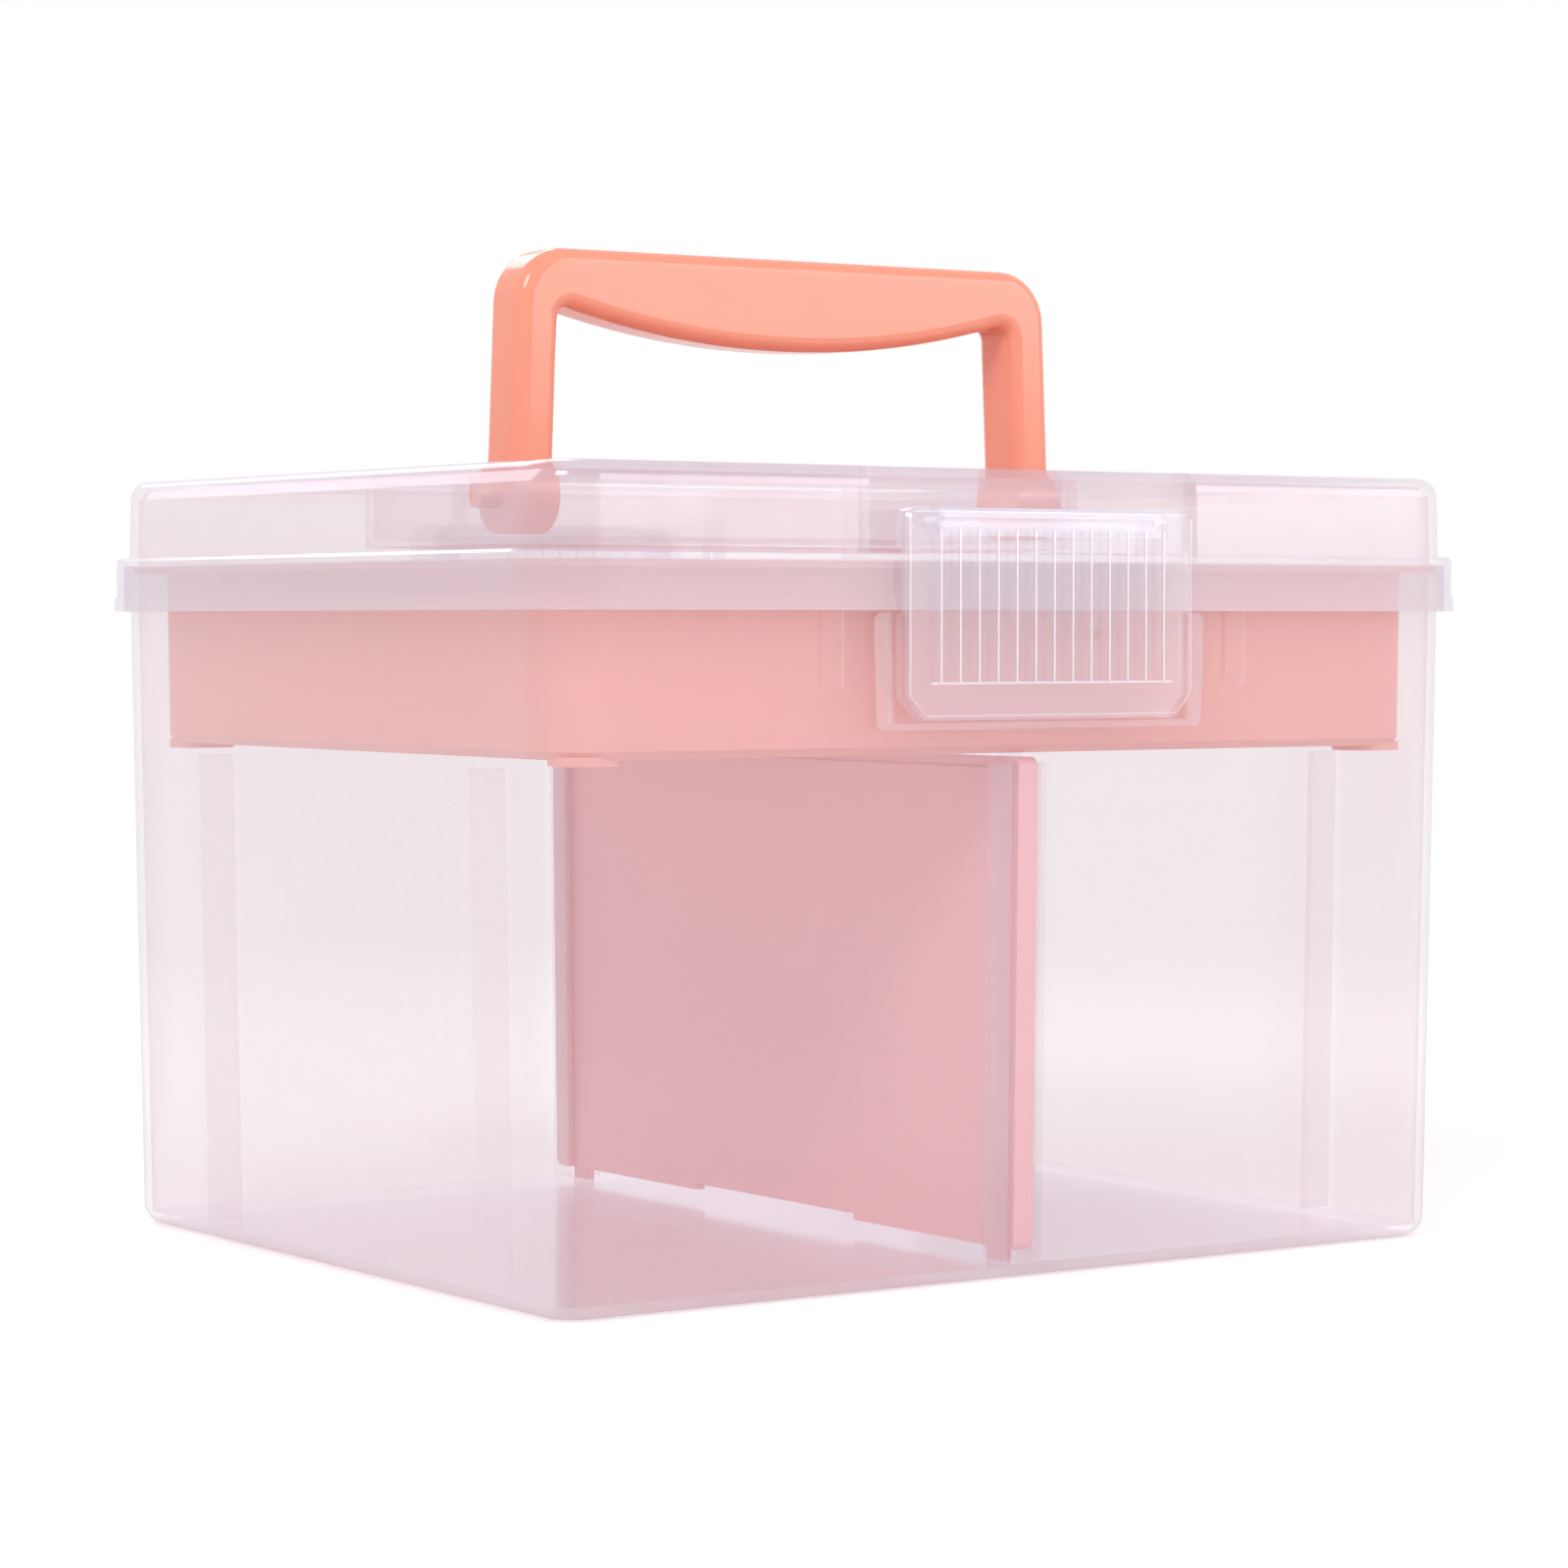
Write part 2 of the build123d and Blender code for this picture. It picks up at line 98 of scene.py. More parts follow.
def build_world():
    """A white room for the camera and for clear plastic, and a soft dome for diffuse light."""
    world = bpy.data.worlds.new("studio")
    bpy.context.scene.world = world
    world.use_nodes = True
    tree = world.node_tree
    tree.nodes.clear()
    output = tree.nodes.new("ShaderNodeOutputWorld")
    seen = tree.nodes.new("ShaderNodeBackground")
    light = tree.nodes.new("ShaderNodeBackground")
    mix = tree.nodes.new("ShaderNodeMixShader")
    path = tree.nodes.new("ShaderNodeLightPath")
    place = tree.nodes.new("ShaderNodeTexCoord")
    split = tree.nodes.new("ShaderNodeSeparateXYZ")
    ramp = tree.nodes.new("ShaderNodeValToRGB")
    glossy = math_node(tree, "MAXIMUM")
    through = math_node(tree, "MAXIMUM")
    ramp.color_ramp.elements[0].position = white_height
    ramp.color_ramp.elements[0].color = horizon_white
    ramp.color_ramp.elements[1].position = overhead_height
    ramp.color_ramp.elements[1].color = overhead_tone
    tree.links.new(place.outputs["Generated"], split.inputs[0])
    tree.links.new(split.outputs["Z"], ramp.inputs["Fac"])
    tree.links.new(ramp.outputs["Color"], seen.inputs["Color"])
    tree.links.new(path.outputs["Is Camera Ray"], glossy.inputs[0])
    tree.links.new(path.outputs["Is Glossy Ray"], glossy.inputs[1])
    tree.links.new(glossy.outputs[0], through.inputs[0])
    tree.links.new(path.outputs["Is Transmission Ray"], through.inputs[1])
    tree.links.new(through.outputs[0], mix.inputs["Fac"])
    tree.links.new(light.outputs[0], mix.inputs[1])
    tree.links.new(seen.outputs[0], mix.inputs[2])
    tree.links.new(mix.outputs[0], output.inputs["Surface"])
    seen.inputs["Strength"].default_value = room_white
    light.inputs["Color"].default_value = dome_tone
    light.inputs["Strength"].default_value = world_level


build_world()
print("world level", world_level)

# %% [markdown]
# Three square area lamps stand round the box, as soft boxes do in a studio. The key lamp is left
# of the front and a little smaller, so the handle's rounded edges get a clear highlight. The fill
# softens the right side, and the back lamp lights the lid and the rear wall through the plastic.
# Each one is turned to the box's middle.

# %% Lamps
key_size = 0.8
lamp_size = 1.2
lamps = {
    "key": {"place": (-1.5, -1.1, 1.5), "power": 17.0, "size": key_size},
    "fill": {"place": (1.5, -1.7, 0.9), "power": 12.0, "size": lamp_size},
    "back": {"place": (0.4, 1.8, 1.7), "power": 10.0, "size": lamp_size},
}
aim = (cad_low + cad_high) / 2

for name, lamp in lamps.items():
    light_data = bpy.data.lights.new(name, "AREA")
    light_data.energy = lamp["power"]
    light_data.size = lamp["size"]
    light_object = bpy.data.objects.new(name, light_data)
    light_object.location = lamp["place"]
    direction = aim - Vector(lamp["place"])
    light_object.rotation_euler = direction.to_track_quat("-Z", "Y").to_euler()
    bpy.context.scene.collection.objects.link(light_object)
print("lamps", len(lamps))

# %% [markdown]
# The floor is a plain white sheet. Close to the box it takes light and the box's soft shadow.
# Farther out the lamps light it less and less, and a real studio would use a curved paper there. A
# ring-shaped mask, measured from the box, fades the sheet into plain white for the camera, for
# mirrors and for sight through clear plastic.

# %% White sweep
floor_white = (0.93, 0.93, 0.93, 1.0)
paper_white = (1.0, 1.0, 1.0, 1.0)
floor_lift = 0.25
fade_start = 0.45
fade_end = 1.1


def build_sweep():
    """Matt white that takes a shadow near the box and fades into plain white farther out."""
    material = bpy.data.materials.new("white_sweep")
    material.use_nodes = True
    tree = material.node_tree
    links = tree.links
    shader = tree.nodes["Principled BSDF"]
    shader.inputs["Base Color"].default_value = floor_white
    shader.inputs["Roughness"].default_value = 1.0
    shader.inputs["Specular IOR Level"].default_value = 0.0
    shader.inputs["Emission Color"].default_value = paper_white
    path = tree.nodes.new("ShaderNodeLightPath")
    seen = math_node(tree, "MAXIMUM")
    mirrored = math_node(tree, "MAXIMUM")
    lift = math_node(tree, "MULTIPLY")
    lift.inputs[1].default_value = floor_lift
    place = tree.nodes.new("ShaderNodeTexCoord")
    distance = tree.nodes.new("ShaderNodeVectorMath")
    distance.operation = "LENGTH"
    fade = tree.nodes.new("ShaderNodeMapRange")
    fade.interpolation_type = "SMOOTHSTEP"
    fade.inputs["From Min"].default_value = fade_start
    fade.inputs["From Max"].default_value = fade_end
    share = math_node(tree, "MULTIPLY")
    paper = tree.nodes.new("ShaderNodeEmission")
    blend = tree.nodes.new("ShaderNodeMixShader")
    links.new(path.outputs["Is Camera Ray"], seen.inputs[0])
    links.new(path.outputs["Is Transmission Ray"], seen.inputs[1])
    links.new(seen.outputs[0], mirrored.inputs[0])
    links.new(path.outputs["Is Glossy Ray"], mirrored.inputs[1])
    links.new(seen.outputs[0], lift.inputs[0])
    links.new(lift.outputs[0], shader.inputs["Emission Strength"])
    links.new(place.outputs["Object"], distance.inputs[0])
    links.new(distance.outputs["Value"], fade.inputs["Value"])
    links.new(fade.outputs["Result"], share.inputs[0])
    links.new(mirrored.outputs[0], share.inputs[1])
    links.new(share.outputs[0], blend.inputs["Fac"])
    links.new(shader.outputs[0], blend.inputs[1])
    links.new(paper.outputs[0], blend.inputs[2])
    links.new(blend.outputs[0], tree.nodes["Material Output"].inputs["Surface"])
    return material


sweep = build_sweep()
print("sweep fades from", fade_start, "to", fade_end, "m")

# %% [markdown]
# The sheet itself is one wide square, a hair below the box's underside so that the two don't
# touch.

# %% Floor
floor_half = 6.0
floor_drop = 0.0002


def build_floor():
    """A wide square sheet under the box."""
    mesh = bpy.data.meshes.new("floor")
    corners = [
        (-floor_half, -floor_half, 0),
        (floor_half, -floor_half, 0),
        (floor_half, floor_half, 0),
        (-floor_half, floor_half, 0),
    ]
    mesh.from_pydata(corners, [], [(0, 1, 2, 3)])
    mesh.materials.append(sweep)
    floor = bpy.data.objects.new("floor", mesh)
    floor.location.z = cad_low.z - floor_drop
    bpy.context.scene.collection.objects.link(floor)
    return floor


floor = build_floor()
print("floor at", round(floor.location.z, 5))

# %% [markdown]
# Moulded polypropylene is never quite even. Its skin has long shallow waves from the flow of the
# melt, and its colour and gloss are a little uneven. A node group makes all three from two
# noises, and its sockets let every material ask for its own amount. That is why it is a group:
# one build, used in six materials.

# %% Melt flow
patch_detail = 3.0
wave_detail = 1.0


def new_group(name, inputs, outputs):
    """A shader group with sockets: (kind, name, value) for inputs, (kind, name) for outputs."""
    group = bpy.data.node_groups.new(name, "ShaderNodeTree")
    for kind, label, value in inputs:
        entry = group.interface.new_socket(name=label, in_out="INPUT", socket_type=kind)
        entry.default_value = value
    for kind, label in outputs:
        group.interface.new_socket(name=label, in_out="OUTPUT", socket_type=kind)
    source = group.nodes.new("NodeGroupInput")
    result = group.nodes.new("NodeGroupOutput")
    return group, source, result


def build_melt_group():
    """Uneven colour and a wavy height, as the flow of the melt leaves them."""
    group, source, result = new_group(
        "melt_flow",
        [
            ("NodeSocketColor", "Light Tone", (1.0, 1.0, 1.0, 1.0)),
            ("NodeSocketColor", "Deep Tone", (0.9, 0.9, 0.9, 1.0)),
            ("NodeSocketFloat", "Patch Scale", 12.0),
            ("NodeSocketFloat", "Wave Scale", 60.0),
            ("NodeSocketFloat", "Smooth Roughness", 0.1),
            ("NodeSocketFloat", "Dull Roughness", 0.2),
        ],
        [
            ("NodeSocketColor", "Color"),
            ("NodeSocketFloat", "Roughness"),
            ("NodeSocketFloat", "Height"),
        ],
    )
    links = group.links
    place = group.nodes.new("ShaderNodeTexCoord")
    patches = group.nodes.new("ShaderNodeTexNoise")
    patches.inputs["Detail"].default_value = patch_detail
    waves = group.nodes.new("ShaderNodeTexNoise")
    waves.inputs["Detail"].default_value = wave_detail
    tone = group.nodes.new("ShaderNodeMix")
    tone.data_type = "RGBA"
    dull = group.nodes.new("ShaderNodeMapRange")
    links.new(place.outputs["Object"], patches.inputs["Vector"])
    links.new(place.outputs["Object"], waves.inputs["Vector"])
    links.new(source.outputs["Patch Scale"], patches.inputs["Scale"])
    links.new(source.outputs["Wave Scale"], waves.inputs["Scale"])
    links.new(patches.outputs["Fac"], tone.inputs["Factor"])
    links.new(source.outputs["Light Tone"], tone.inputs["A"])
    links.new(source.outputs["Deep Tone"], tone.inputs["B"])
    links.new(patches.outputs["Fac"], dull.inputs["Value"])
    links.new(source.outputs["Smooth Roughness"], dull.inputs["To Min"])
    links.new(source.outputs["Dull Roughness"], dull.inputs["To Max"])
    links.new(tone.outputs["Result"], result.inputs["Color"])
    links.new(dull.outputs["Result"], result.inputs["Roughness"])
    links.new(waves.outputs["Fac"], result.inputs["Height"])
    return group


melt_group = build_melt_group()
print("group", melt_group.name)

# %% [markdown]
# Coral plastic often carries a few tiny dark specks, from burnt grains of colour or from dust. A
# Voronoi texture cuts the piece into cells. A random colour per cell picks the few that hold a
# speck, and the distance to the cell's middle gives the speck its soft round shape.

# %% Dark specks


def build_speck_group():
    """A mask of sparse round specks: a few cells of a Voronoi texture hold one each."""
    group, source, result = new_group(
        "dark_specks",
        [
            ("NodeSocketFloat", "Cells per Metre", 120.0),
            ("NodeSocketFloat", "Speck Size", 0.08),
            ("NodeSocketFloat", "Empty Share", 0.9),
        ],
        [("NodeSocketFloat", "Mask")],
    )
    links = group.links
    place = group.nodes.new("ShaderNodeTexCoord")
    cells = group.nodes.new("ShaderNodeTexVoronoi")
    split = group.nodes.new("ShaderNodeSeparateColor")
    chosen = math_node(group, "GREATER_THAN")
    near = group.nodes.new("ShaderNodeMapRange")
    near.inputs["To Min"].default_value = 1.0
    near.inputs["To Max"].default_value = 0.0
    both = math_node(group, "MULTIPLY")
    links.new(place.outputs["Object"], cells.inputs["Vector"])
    links.new(source.outputs["Cells per Metre"], cells.inputs["Scale"])
    links.new(cells.outputs["Distance"], near.inputs["Value"])
    links.new(source.outputs["Speck Size"], near.inputs["From Max"])
    links.new(cells.outputs["Color"], split.inputs[0])
    links.new(split.outputs[0], chosen.inputs[0])
    links.new(source.outputs["Empty Share"], chosen.inputs[1])
    links.new(chosen.outputs[0], both.inputs[0])
    links.new(near.outputs["Result"], both.inputs[1])
    links.new(both.outputs[0], result.inputs["Mask"])
    return group


speck_group = build_speck_group()
print("group", speck_group.name)

# %% [markdown]
# Every plastic here starts the same way: the melt group drives the colour, the roughness and the
# bump of one Principled shader. The bump is only about a tenth of a millimetre high, because the
# waves just bend the highlights, and the shape itself is in the CAD.

# %% Moulded plastic


def place_melt(material, tones, patch_scale, wave_scale, roughness, wave_height):
    """Put the melt group in a material and wire it to the Principled shader."""
    tree = material.node_tree
    shader = tree.nodes["Principled BSDF"]
    melt = tree.nodes.new("ShaderNodeGroup")
    melt.node_tree = melt_group
    melt.name = "melt"
    melt.inputs["Light Tone"].default_value = tones[0]
    melt.inputs["Deep Tone"].default_value = tones[1]
    melt.inputs["Patch Scale"].default_value = patch_scale
    melt.inputs["Wave Scale"].default_value = wave_scale
    melt.inputs["Smooth Roughness"].default_value = roughness[0]
    melt.inputs["Dull Roughness"].default_value = roughness[1]
    bump = tree.nodes.new("ShaderNodeBump")
    bump.name = "waves"
    bump.inputs["Distance"].default_value = wave_height
    tree.links.new(melt.outputs["Color"], shader.inputs["Base Color"])
    tree.links.new(melt.outputs["Roughness"], shader.inputs["Roughness"])
    tree.links.new(melt.outputs["Height"], bump.inputs["Height"])
    tree.links.new(bump.outputs["Normal"], shader.inputs["Normal"])


print("melt flow ready for materials")

# %% [markdown]
# The tub and the lid are clear polypropylene, one and a half to two millimetres thick. Through a
# wall that thin nothing looks bent, so each surface is mostly open: a Refraction shader that
# bends nothing shows what is behind it, and a small share of a milky film gives the haze. Rays
# from the lamps and from matt pieces meet a Transparent shader instead, so that light reaches the
# tray. Bending glass would show dark lines at every edge. A mirror is mixed over all. Its share
# comes from the angle of view, as on any plastic: a few percent face on, and most of it along the
# surface.

# %% Open surface
pass_tone = (1.0, 0.992, 0.995, 1.0)


def open_shader(tree):
    """What lets sight and light through a surface: unbent refraction for sight, transparency for light."""
    sight = tree.nodes.new("ShaderNodeBsdfRefraction")
    sight.inputs["Color"].default_value = pass_tone
    sight.inputs["Roughness"].default_value = 0.0
    sight.inputs["IOR"].default_value = 1.0
    light = tree.nodes.new("ShaderNodeBsdfTransparent")
    light.inputs["Color"].default_value = pass_tone
    path = tree.nodes.new("ShaderNodeLightPath")
    either = math_node(tree, "MAXIMUM")
    blend = tree.nodes.new("ShaderNodeMixShader")
    tree.links.new(path.outputs["Is Shadow Ray"], either.inputs[0])
    tree.links.new(path.outputs["Is Diffuse Ray"], either.inputs[1])
    tree.links.new(either.outputs[0], blend.inputs["Fac"])
    tree.links.new(sight.outputs[0], blend.inputs[1])
    tree.links.new(light.outputs[0], blend.inputs[2])
    return blend.outputs[0]


print("open surface ready")

# %% [markdown]
# The film and the mirror go over the open surface. Haze is what one surface hides face on, and
# edge haze what it hides side on, where sight runs a longer way through the milky plastic. Layer
# Weight gives the angle, and a power keeps both effects near the edges.

# %% Clear plastic
clear_patch_scale = 9.0
clear_wave_scale = 40.0
facing_blend = 0.5
film_power = 3.0
mirror_power = 4.0
mirror_rise = 0.65
# The mirror's lavender tone is painted reflection colour: it tints everything the plastic mirrors, as a
# lavender room would.
painted_lavender_tone = (0.90, 0.865, 0.94, 1.0)


def clear_plastic(name, tones, haze, edge_haze, roughness, wave_height, mirror_face_on, gloss_roughness):
    """A milky clear film with a mirror on it, tinted lavender as a painted reflection colour."""
    material = bpy.data.materials.new(name)
    material.use_nodes = True
    tree = material.node_tree
    links = tree.links
    shader = tree.nodes["Principled BSDF"]
    place_melt(material, tones, clear_patch_scale, clear_wave_scale, roughness, wave_height)
    facing = tree.nodes.new("ShaderNodeLayerWeight")
    facing.inputs["Blend"].default_value = facing_blend
    grazing = math_node(tree, "POWER")
    grazing.inputs[1].default_value = film_power
    film = tree.nodes.new("ShaderNodeMapRange")
    film.inputs["To Min"].default_value = haze
    film.inputs["To Max"].default_value = edge_haze
    rise = math_node(tree, "POWER")
    rise.inputs[1].default_value = mirror_power
    share = math_node(tree, "MULTIPLY_ADD")
    share.inputs[1].default_value = mirror_rise
    share.inputs[2].default_value = mirror_face_on
    mirror = tree.nodes.new("ShaderNodeBsdfGlossy")
    mirror.inputs["Color"].default_value = painted_lavender_tone
    mirror.inputs["Roughness"].default_value = gloss_roughness
    body = tree.nodes.new("ShaderNodeMixShader")
    blend = tree.nodes.new("ShaderNodeMixShader")
    blend.name = "blend"
    links.new(facing.outputs["Facing"], grazing.inputs[0])
    links.new(grazing.outputs[0], film.inputs["Value"])
    links.new(film.outputs["Result"], body.inputs["Fac"])
    links.new(open_shader(tree), body.inputs[1])
    links.new(shader.outputs[0], body.inputs[2])
    links.new(facing.outputs["Facing"], rise.inputs[0])
    links.new(rise.outputs[0], share.inputs[0])
    links.new(share.outputs[0], blend.inputs["Fac"])
    links.new(tree.nodes["waves"].outputs["Normal"], mirror.inputs["Normal"])
    links.new(body.outputs[0], blend.inputs[1])
    links.new(mirror.outputs[0], blend.inputs[2])
    links.new(blend.outputs[0], tree.nodes["Material Output"].inputs["Surface"])
    return material


print("clear plastic ready")

# %% [markdown]
# The tub is the clearest piece. The lid is a little milkier: its mirror and haze are stronger,
# and its colour is paler. The milky film itself is real haze. The pink in both films' tones is
# painted light: it stands for coral light that the haze scatters from the tray and the divider.

# %% Plastic of the tub and the lid
wall_plastic = clear_plastic(
    "clear_polypropylene",
    tones=((0.87, 0.80, 0.86, 1.0), (0.84, 0.76, 0.83, 1.0)),
    haze=0.09,
    edge_haze=0.30,
    roughness=(0.25, 0.35),
    wave_height=0.00012,
    mirror_face_on=0.055,
    gloss_roughness=0.12,
)
lid_plastic = clear_plastic(
    "lid_polypropylene",
    tones=((0.90, 0.82, 0.88, 1.0), (0.87, 0.78, 0.85, 1.0)),
    haze=0.125,
    edge_haze=0.34,
    roughness=(0.25, 0.35),
    wave_height=0.00012,
    mirror_face_on=0.075,
    gloss_roughness=0.14,
)
print("clear", wall_plastic.name, lid_plastic.name)

# %% [markdown]
# Thick, ridged or edge-on plastic looks whiter than a plain wall, because light runs about inside
# it. Such places get a painted reflection: a mask adds to the share of the mirror, so more of the
# white room comes back there. The masks are made from the place on the piece in metres, which
# stays with the piece when it moves.

# %% Painted reflection masks
far_below = -1.0
far_above = 1.0


def band(tree, value, low, high):
    """A mask that is 1 between two values."""
    above = math_node(tree, "GREATER_THAN")
    above.inputs[1].default_value = low
    below = math_node(tree, "LESS_THAN")
    below.inputs[1].default_value = high
    both = math_node(tree, "MULTIPLY")
    tree.links.new(value, above.inputs[0])
    tree.links.new(value, below.inputs[0])
    tree.links.new(above.outputs[0], both.inputs[0])
    tree.links.new(below.outputs[0], both.inputs[1])
    return both.outputs[0]


def times(tree, first, second):
    """The product of two values, where the second may be a plain number."""
    product = math_node(tree, "MULTIPLY")
    tree.links.new(first, product.inputs[0])
    if isinstance(second, float):
        product.inputs[1].default_value = second
    else:
        tree.links.new(second, product.inputs[1])
    return product.outputs[0]


def plus(tree, first, second):
    """The sum of two values, at most 1."""
    total = math_node(tree, "ADD")
    total.use_clamp = True
    tree.links.new(first, total.inputs[0])
    tree.links.new(second, total.inputs[1])
    return total.outputs[0]


def place_axes(tree):
    """The place on the piece: X, the distance from the middle to the front or back, and Z."""
    place = tree.nodes.new("ShaderNodeTexCoord")
    split = tree.nodes.new("ShaderNodeSeparateXYZ")
    depth = math_node(tree, "ABSOLUTE")
    tree.links.new(place.outputs["Object"], split.inputs[0])
    tree.links.new(split.outputs["Y"], depth.inputs[0])
    return split.outputs["X"], depth.outputs[0], split.outputs["Z"]


def either_side(tree, value):
    """The distance from the middle, the same on both sides."""
    distance = math_node(tree, "ABSOLUTE")
    tree.links.new(value, distance.inputs[0])
    return distance.outputs[0]


def add_painted_reflection(material, mask):
    """Where the mask is, more of the white room comes back: a painted reflection for thick or edge-on
    plastic.
    """
    tree = material.node_tree
    blend = tree.nodes["blend"]
    # The mask's amount joins the mirror's share here, as painted reflection.
    with_painted_reflection = plus(tree, blend.inputs["Fac"].links[0].from_socket, mask)
    tree.links.new(with_painted_reflection, blend.inputs["Fac"])


print("painted_reflection masks reach from", far_below, "to", far_above, "m")

# %% [markdown]
# The lid's rim is a deep channel that grips the tub's collar. Several walls lie behind each other
# there, so it looks whiter than the walls below, and a painted reflection adds to that whiteness.
# The mask is simply the height of the rim.

# %% Rim of the lid
rim_low = 150.0 * millimetre
rim_high = 163.0 * millimetre
# How much painted reflection whitens the rim.
rim_painted_reflection = 0.1


def paint_rim_reflection(material):
    """Make the lid's rim a little whiter with a painted reflection."""
    tree = material.node_tree
    height = place_axes(tree)[2]
    add_painted_reflection(material, times(tree, band(tree, height, rim_low, rim_high), rim_painted_reflection))


paint_rim_reflection(lid_plastic)
print("rim frosted")

# %% [markdown]
# Behind each latch the tub carries a U-shaped frame, and each bar of it is seen along its depth,
# where plastic looks whiter. The mask marks the bars and the sill by their places on the tub,
# front and back alike, and paints a reflection of the white room on them.

# %% Frame on the tub
frame_inner = 41.6 * millimetre
frame_outer = 46.4 * millimetre
frame_low = 123.7 * millimetre
frame_sill = 125.5 * millimetre
frame_high = 150.1 * millimetre
frame_face = 103.9 * millimetre
# How much painted reflection whitens the frame.
frame_painted_reflection = 0.16


def paint_frame_reflection(material):
    """Make the bars and the sill of the tub's two frames a little whiter with a painted reflection."""
    tree = material.node_tree
    x, y, z = place_axes(tree)
    side = either_side(tree, x)
    bars = times(tree, band(tree, side, frame_inner, frame_outer), band(tree, z, frame_low, frame_high))
    sill = times(tree, band(tree, side, far_below, frame_outer), band(tree, z, frame_low, frame_sill))
    whole = times(tree, plus(tree, bars, sill), band(tree, y, frame_face, far_above))
    add_painted_reflection(material, times(tree, whole, frame_painted_reflection))


paint_frame_reflection(wall_plastic)
print("frame frosted")

# %% [markdown]
# The latches are the same plastic, a little milkier. Thirteen fine ridges run down each cover to
# give a fingertip hold, and they catch the light as white lines. The ridges are in the CAD, but
# they are only half a millimetre wide, so a mask at their places paints these white lines on as a
# painted highlight. The hinge barrel is solid and so looks whiter, which a painted reflection gives.

# %% Places on the latch
ridge_pitch = 5.2 * millimetre
ridge_half = 0.3 * millimetre
ridge_reach = 6.5 * ridge_pitch
ridge_low = 134.1 * millimetre
ridge_high = 167.8 * millimetre
panel_line = 0.25 * millimetre
cover_half = 40.3 * millimetre
cover_low = 126.0 * millimetre
cover_high = 172.7 * millimetre
cover_face = 109.35 * millimetre
corner_line = -92.2 * millimetre
border_width = 1.2 * millimetre
barrel_reach = 30.5 * millimetre
barrel_low = 166.4 * millimetre
print("latch ridges every", round(ridge_pitch / millimetre, 2), "mm")

# %% [markdown]
# Four masks are added up: the ridges, the line under them, the cover's border with its two cut
# corners, and the barrel. The first three carry painted highlights and the barrel a painted
# reflection. A Ping-Pong node repeats one ridge at every pitch. A line at a slant, the distance
# from the middle less the height, marks the cut corners. Ridges and border are marked on the
# cover's outer face alone, so that they don't show through twice.

# %% Painted highlights on the latch
# Shares of painted highlight on the ridges and the border, and of painted reflection on the barrel.
ridge_painted_highlight = 0.6
border_painted_highlight = 0.3
barrel_painted_reflection = 0.22


def ridge_mask(tree, x, side, z):
    """The ridges and the line under them."""
    wave = math_node(tree, "PINGPONG")
    wave.inputs[1].default_value = ridge_pitch / 2
    tree.links.new(x, wave.inputs[0])
    crest = band(tree, wave.outputs[0], -ridge_half, ridge_half)
    on_ridge = times(tree, crest, band(tree, z, ridge_low, ridge_high))
    sill = band(tree, z, ridge_low - panel_line, ridge_low + panel_line)
    return times(tree, plus(tree, on_ridge, sill), band(tree, side, far_below, ridge_reach))


def border_mask(tree, side, z):
    """The cover's sides, bottom, cut corners and top."""
    slope = math_node(tree, "SUBTRACT")
    tree.links.new(side, slope.inputs[0])
    tree.links.new(z, slope.inputs[1])
    sides = band(tree, side, cover_half - border_width, far_above)
    bottom = band(tree, z, far_below, cover_low + border_width)
    corners = band(tree, slope.outputs[0], corner_line, far_above)
    top = band(tree, z, cover_high - border_width, far_above)
    return plus(tree, plus(tree, plus(tree, sides, bottom), corners), top)


def paint_latch_highlights(material):
    """Paint highlights on the latch's ridges, the line under them and its border, and a reflection on its
    barrel.
    """
    tree = material.node_tree
    x, y, z = place_axes(tree)
    side = either_side(tree, x)
    outside = band(tree, y, cover_face, far_above)
    ridges = times(tree, times(tree, ridge_mask(tree, x, side, z), outside), ridge_painted_highlight)
    border = times(tree, times(tree, border_mask(tree, side, z), outside), border_painted_highlight)
    barrel = times(tree, band(tree, side, far_below, barrel_reach), band(tree, z, barrel_low, far_above))
    add_painted_reflection(material, plus(tree, plus(tree, ridges, border), times(tree, barrel, barrel_painted_reflection)))


latch_plastic = clear_plastic(
    "milky_polypropylene",
    tones=((1.0, 0.95, 0.99, 1.0), (0.99, 0.93, 0.98, 1.0)),
    haze=0.03,
    edge_haze=0.20,
    roughness=(0.2, 0.3),
    wave_height=0.0001,
    mirror_face_on=0.15,
    gloss_roughness=0.16,
)
paint_latch_highlights(latch_plastic)
print("latch plastic", latch_plastic.name)

# %% [markdown]
# The coral pieces are the same polypropylene with pigment, so they are opaque and carry the
# specks. What differs from piece to piece is the colour, the gloss and a few values of the
# Principled shader, so one function makes them all.

# %% Coral plastic
coral_patch_scale = 8.0
coral_wave_scale = 50.0
speck_tone = (0.55, 0.2, 0.14, 1.0)
specks_per_metre = 95.0
speck_size = 0.07
empty_share = 0.93


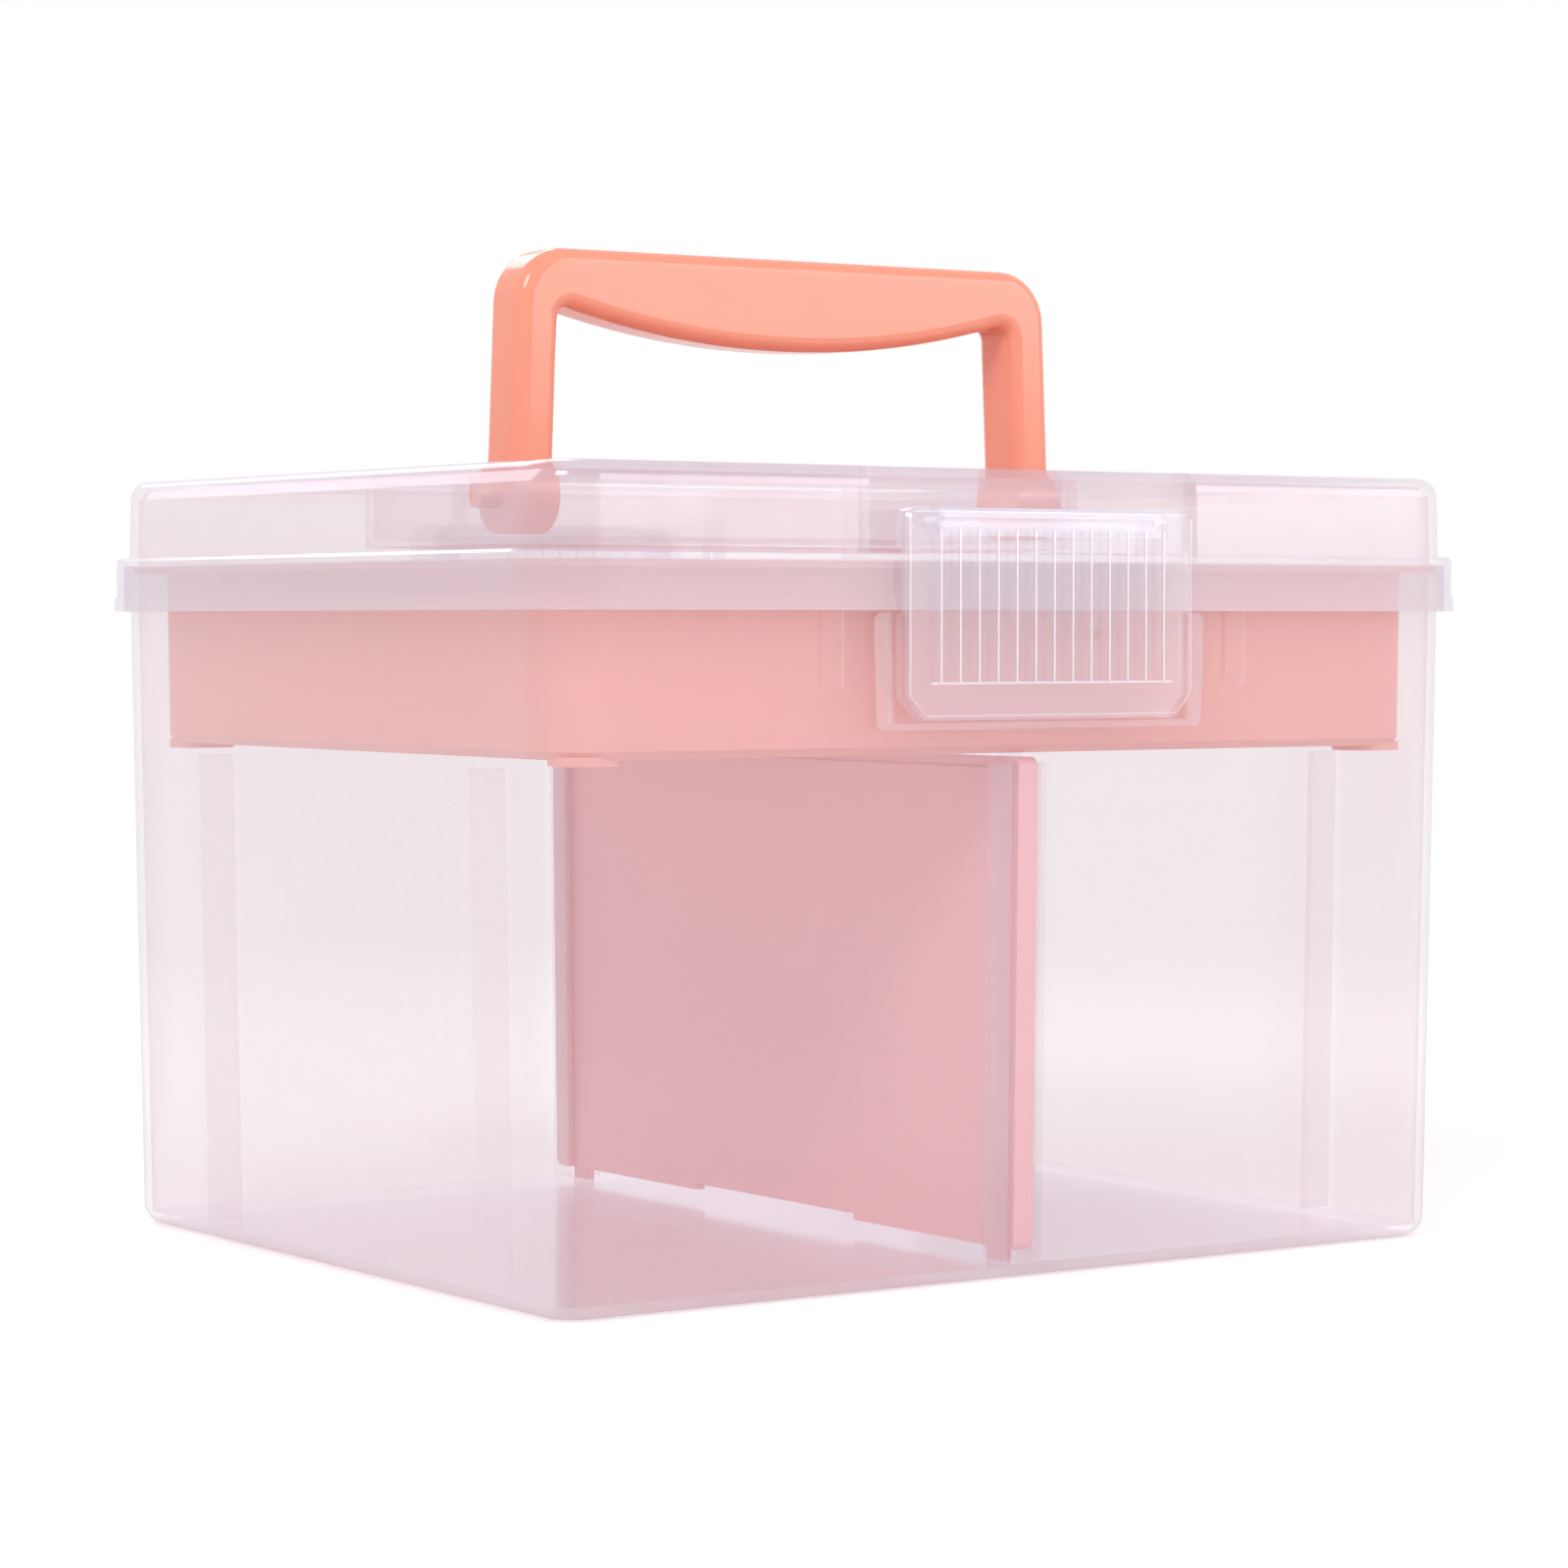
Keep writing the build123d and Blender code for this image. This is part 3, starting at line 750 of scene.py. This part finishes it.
def place_specks(material):
    """Darken the base colour where the speck group's mask is."""
    tree = material.node_tree
    shader = tree.nodes["Principled BSDF"]
    specks = tree.nodes.new("ShaderNodeGroup")
    specks.node_tree = speck_group
    specks.inputs["Cells per Metre"].default_value = specks_per_metre
    specks.inputs["Speck Size"].default_value = speck_size
    specks.inputs["Empty Share"].default_value = empty_share
    spotted = tree.nodes.new("ShaderNodeMix")
    spotted.data_type = "RGBA"
    spotted.inputs["B"].default_value = speck_tone
    tree.links.new(specks.outputs["Mask"], spotted.inputs["Factor"])
    tree.links.new(tree.nodes["melt"].outputs["Color"], spotted.inputs["A"])
    tree.links.new(spotted.outputs["Result"], shader.inputs["Base Color"])


def coral_plastic(name, tones, roughness, wave_height, settings):
    """Opaque coloured plastic with its waves and specks."""
    material = bpy.data.materials.new(name)
    material.use_nodes = True
    place_melt(material, tones, coral_patch_scale, coral_wave_scale, roughness, wave_height)
    place_specks(material)
    for label, value in settings.items():
        material.node_tree.nodes["Principled BSDF"].inputs[label].default_value = value
    return material


print("coral plastic ready")

# %% [markdown]
# The handle is thick, so light enters a little way and glows back: a small amount of subsurface
# gives that. The tray and the divider are thin, and their skin is a little duller. The divider is
# pinker than the tray.

# %% Plastic of the handle, the tray and the divider
coral_handle = coral_plastic(
    "coral_handle",
    tones=((1.0, 0.355, 0.235, 1.0), (1.0, 0.34, 0.22, 1.0)),
    roughness=(0.10, 0.16),
    wave_height=0.00012,
    settings={"Subsurface Weight": 0.15, "Subsurface Scale": 0.003, "Specular IOR Level": 0.6},
)
coral_tray = coral_plastic(
    "coral_tray",
    tones=((0.98, 0.43, 0.36, 1.0), (0.96, 0.415, 0.35, 1.0)),
    roughness=(0.35, 0.5),
    wave_height=0.0001,
    settings={},
)
coral_divider = coral_plastic(
    "coral_divider",
    tones=((1.0, 0.555, 0.56, 1.0), (1.0, 0.54, 0.545, 1.0)),
    roughness=(0.35, 0.5),
    wave_height=0.0001,
    settings={},
)
print("coral", coral_handle.name, coral_tray.name, coral_divider.name)

# %% [markdown]
# Every piece came from the CAD with a material slot of its own. The finish goes into the slot, so
# the piece keeps its mesh and its place. Both latches share one plastic, because they are the
# same moulding.

# %% Give every piece its finish
finishes = {
    "tub": wall_plastic,
    "lid": lid_plastic,
    "front_latch": latch_plastic,
    "rear_latch": latch_plastic,
    "handle": coral_handle,
    "tray": coral_tray,
    "divider": coral_divider,
}
for name, material in finishes.items():
    for material_slot in nodes[name].material_slots:
        material_slot.material = material
print("finishes", len(finishes))
